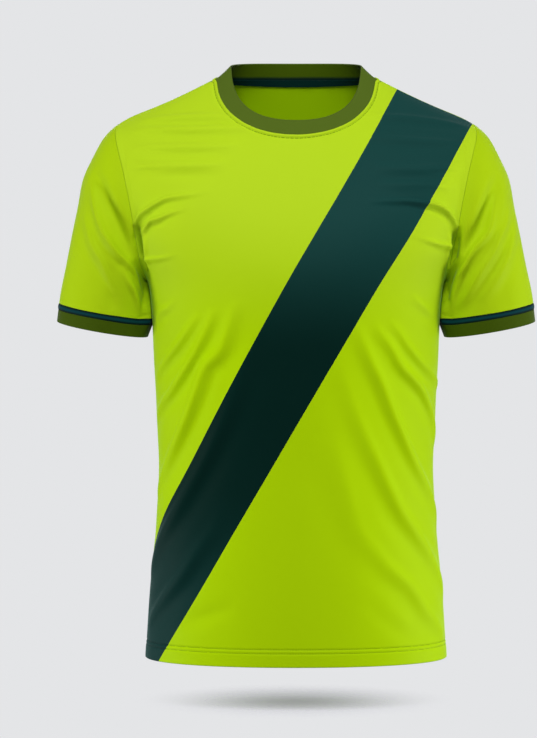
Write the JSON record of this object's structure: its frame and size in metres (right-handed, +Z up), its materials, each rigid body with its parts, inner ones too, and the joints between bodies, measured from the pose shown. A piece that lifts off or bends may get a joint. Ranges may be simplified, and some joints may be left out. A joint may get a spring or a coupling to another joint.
{
  "type": "badminton jersey",
  "caption": "Short-sleeved crew-neck sports jersey in bright lime knit, filled out as if worn, with a dark diagonal sash, rib collar and rib cuffs.",
  "frame": {"origin": "midway between the two high shoulder points, where the shoulder seams meet the collar, at their height", "axes": "+Z up along the wearer's back, -Y out of the front, +X to the wearer's left"},
  "size_m": [0.578, 0.2388, 0.7221],
  "materials": {
    "lime_knit": "matte polyester interlock with a faint sheen",
    "olive_rib": "matte ribbed knit",
    "teal_tape": "matte woven tape"
  },
  "bodies": {
    "root": {"front_panel": "lime_knit", "back_panel": "lime_knit", "left_sleeve": "lime_knit", "right_sleeve": "lime_knit", "collar_rib": "olive_rib", "back_neck_tape": "teal_tape", "left_cuff_stripe": "teal_tape", "right_cuff_stripe": "teal_tape", "left_cuff": "olive_rib", "right_cuff": "olive_rib"}
  },
  "joints": []
}
